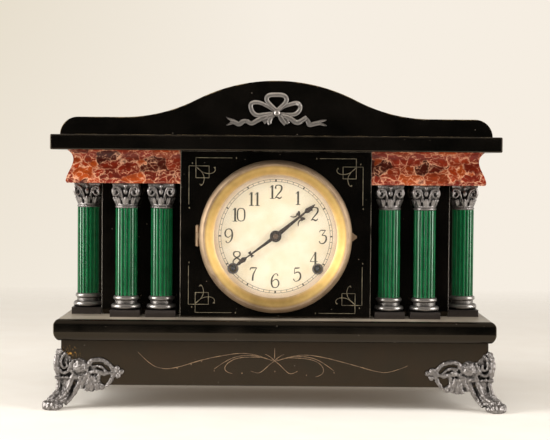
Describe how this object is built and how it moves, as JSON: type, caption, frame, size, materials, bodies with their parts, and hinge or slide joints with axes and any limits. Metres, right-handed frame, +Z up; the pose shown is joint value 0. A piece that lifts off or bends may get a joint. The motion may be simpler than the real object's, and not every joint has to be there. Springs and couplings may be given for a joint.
{
  "type": "mantel clock",
  "caption": "Black lacquered temple-style mantel clock with fluted columns, marbled friezes, arched pediment, cast feet, hinged glazed bezel and a striking pendulum movement.",
  "frame": {"origin": "on the table under the middle of the clock, the centre of the bounding box's bottom face", "axes": "+X to the right seen from the front, along the width; +Y from the dial to the back; +Z up"},
  "size_m": [0.451, 0.191, 0.3199],
  "materials": {
    "black_lacquer": "gloss lacquer",
    "back_wood": "matt stain",
    "marbled_lacquer": "gloss lacquer",
    "green_lacquer": "gloss lacquer",
    "cast_white_metal": "antique pewter",
    "spun_brass": "lacquered",
    "glass": "clear",
    "dial_enamel": "satin",
    "browned_steel": "browned",
    "tin_plate": "dull tin",
    "movement_brass": "rolled",
    "steel": "bright",
    "iron": "black"
  },
  "bodies": {
    "case": {"base_box": "black_lacquer", "base_slab": "black_lacquer", "front_board": "black_lacquer", "dial_panel": "black_lacquer", "case_side_left": "black_lacquer", "case_side_right": "black_lacquer", "back_board": "back_wood", "frieze_left": "marbled_lacquer", "frieze_right": "marbled_lacquer", "top_slab": "black_lacquer", "pediment": "black_lacquer", "ribbon_ornament": "cast_white_metal", "column_bases": "cast_white_metal", "column_shafts": "green_lacquer", "column_capitals": "cast_white_metal", "back_door_hinge_leaf": "tin_plate", "back_door_hinge_pin": "tin_plate", "foot_front_left": "cast_white_metal", "foot_front_right": "cast_white_metal", "foot_rear_right": "cast_white_metal", "foot_rear_left": "cast_white_metal", "bezel_hinge_leaf": "spun_brass", "bezel_hinge_pin": "spun_brass", "dial": "dial_enamel", "dial_grommets": "spun_brass", "movement_front_plate": "movement_brass", "movement_back_plate": "movement_brass", "movement_pillars": "steel", "pillar_nuts": "steel", "mounting_posts": "steel", "time_mainspring": "steel", "suspension_cock": "movement_brass", "strike_mainspring": "steel", "gong_coil": "steel", "gong_stand": "iron"},
    "bezel": {"bezel_ring": "spun_brass", "bezel_glass": "glass"},
    "back_door": {"back_door": "tin_plate"},
    "minute": {"minute_arbor": "steel", "minute_hand": "browned_steel", "hand_nut": "spun_brass"},
    "minute_wheel": {"minute_wheel": "movement_brass"},
    "hour": {"hour_wheel": "movement_brass", "hour_hand": "browned_steel"},
    "time_main": {"time_main_wheel": "movement_brass"},
    "time_winding": {"time_winding_arbor": "steel"},
    "time_second": {"time_second_wheel": "movement_brass"},
    "time_centre": {"time_centre_wheel": "movement_brass"},
    "time_fourth": {"time_fourth_wheel": "movement_brass"},
    "escape": {"escape_wheel": "movement_brass"},
    "verge": {"verge": "steel"},
    "pendulum": {"pendulum_rod": "steel", "pendulum_bob": "movement_brass"},
    "strike_main": {"strike_main_wheel": "movement_brass"},
    "strike_winding": {"strike_winding_arbor": "steel"},
    "strike_second": {"strike_second_wheel": "movement_brass"},
    "strike_pin": {"strike_pin_wheel": "movement_brass"},
    "strike_warning": {"strike_warning_wheel": "movement_brass"},
    "fly": {"strike_fly": "movement_brass"},
    "hammer": {"strike_hammer": "steel"}
  },
  "joints": [
    {"name": "bezel_swing", "type": "hinge", "parent": "case", "child": "bezel", "pos_m": [-0.0761, -0.064, 0.16805], "axis": [0, 0, -1], "range_deg": [0, 110]},
    {"name": "back_door_swing", "type": "hinge", "parent": "case", "child": "back_door", "pos_m": [0.0657, 0.079, 0.16505], "axis": [0, 0, -1], "range_deg": [0, 110]},
    {"name": "minute_hand_turn", "type": "hinge", "parent": "case", "child": "minute", "pos_m": [0, -0.06, 0.16805], "axis": [0, -1, 0], "continuous": true},
    {"name": "minute_wheel_turn", "type": "hinge", "parent": "case", "child": "minute_wheel", "pos_m": [-0.01018, -0.05, 0.15787], "axis": [0, -1, 0], "continuous": true},
    {"name": "hour_hand_turn", "type": "hinge", "parent": "case", "child": "hour", "pos_m": [0, -0.06, 0.16805], "axis": [0, -1, 0], "continuous": true},
    {"name": "escape_wheel_turn", "type": "hinge", "parent": "case", "child": "escape", "pos_m": [0, -0.014, 0.20411], "axis": [0, -1, 0], "continuous": true},
    {"name": "time_fourth_turn", "type": "hinge", "parent": "case", "child": "time_fourth", "pos_m": [0.01046, -0.033, 0.18772], "axis": [0, -1, 0], "continuous": true},
    {"name": "time_centre_turn", "type": "hinge", "parent": "case", "child": "time_centre", "pos_m": [0, -0.028, 0.16805], "axis": [0, -1, 0], "continuous": true},
    {"name": "time_second_turn", "type": "hinge", "parent": "case", "child": "time_second", "pos_m": [0.02319, -0.02, 0.16188], "axis": [0, -1, 0], "continuous": true},
    {"name": "time_main_turn", "type": "hinge", "parent": "case", "child": "time_main", "pos_m": [0.04149, -0.016, 0.13623], "axis": [0, -1, 0], "continuous": true},
    {"name": "time_winding_turn", "type": "hinge", "parent": "time_main", "child": "time_winding", "pos_m": [0.04149, -0.03, 0.13623], "axis": [0, -1, 0], "continuous": true},
    {"name": "pendulum_swing", "type": "hinge", "parent": "case", "child": "pendulum", "pos_m": [0, 0.001, 0.2196], "axis": [0, -1, 0], "range_deg": [-4, 4]},
    {"name": "verge_rock", "type": "hinge", "parent": "case", "child": "verge", "pos_m": [0, -0.014, 0.2196], "axis": [0, -1, 0], "range_deg": [-4, 4]},
    {"name": "fly_turn", "type": "hinge", "parent": "case", "child": "fly", "pos_m": [-0.02367, -0.038, 0.20994], "axis": [0, -1, 0], "continuous": true},
    {"name": "strike_warning_turn", "type": "hinge", "parent": "case", "child": "strike_warning", "pos_m": [-0.0188, -0.024, 0.19655], "axis": [0, -1, 0], "continuous": true},
    {"name": "strike_pin_turn", "type": "hinge", "parent": "case", "child": "strike_pin", "pos_m": [-0.03797, -0.028, 0.18957], "axis": [0, -1, 0], "continuous": true},
    {"name": "strike_second_turn", "type": "hinge", "parent": "case", "child": "strike_second", "pos_m": [-0.03601, -0.02, 0.16726], "axis": [0, -1, 0], "continuous": true},
    {"name": "strike_main_turn", "type": "hinge", "parent": "case", "child": "strike_main", "pos_m": [-0.04149, -0.016, 0.13623], "axis": [0, -1, 0], "continuous": true},
    {"name": "strike_winding_turn", "type": "hinge", "parent": "strike_main", "child": "strike_winding", "pos_m": [-0.04149, -0.03, 0.13623], "axis": [0, -1, 0], "continuous": true},
    {"name": "hammer_strike", "type": "hinge", "parent": "case", "child": "hammer", "pos_m": [-0.056, 0.025, 0.21205], "axis": [0, 1, 0], "range_deg": [0, 25]}
  ],
  "couplings": [
    {"joint": "minute_wheel_turn", "follows": "minute_hand_turn", "ratio": -0.33333},
    {"joint": "hour_hand_turn", "follows": "minute_hand_turn", "ratio": 0.083333},
    {"joint": "time_fourth_turn", "follows": "escape_wheel_turn", "ratio": -0.08},
    {"joint": "time_centre_turn", "follows": "escape_wheel_turn", "ratio": 0.0064},
    {"joint": "time_second_turn", "follows": "escape_wheel_turn", "ratio": -0.0016},
    {"joint": "time_main_turn", "follows": "escape_wheel_turn", "ratio": 0.00026667},
    {"joint": "verge_rock", "follows": "pendulum_swing", "ratio": 1},
    {"joint": "strike_warning_turn", "follows": "fly_turn", "ratio": -0.14},
    {"joint": "strike_pin_turn", "follows": "fly_turn", "ratio": 0.018667},
    {"joint": "strike_second_turn", "follows": "fly_turn", "ratio": -0.0031111},
    {"joint": "strike_main_turn", "follows": "fly_turn", "ratio": 0.00051852}
  ]
}
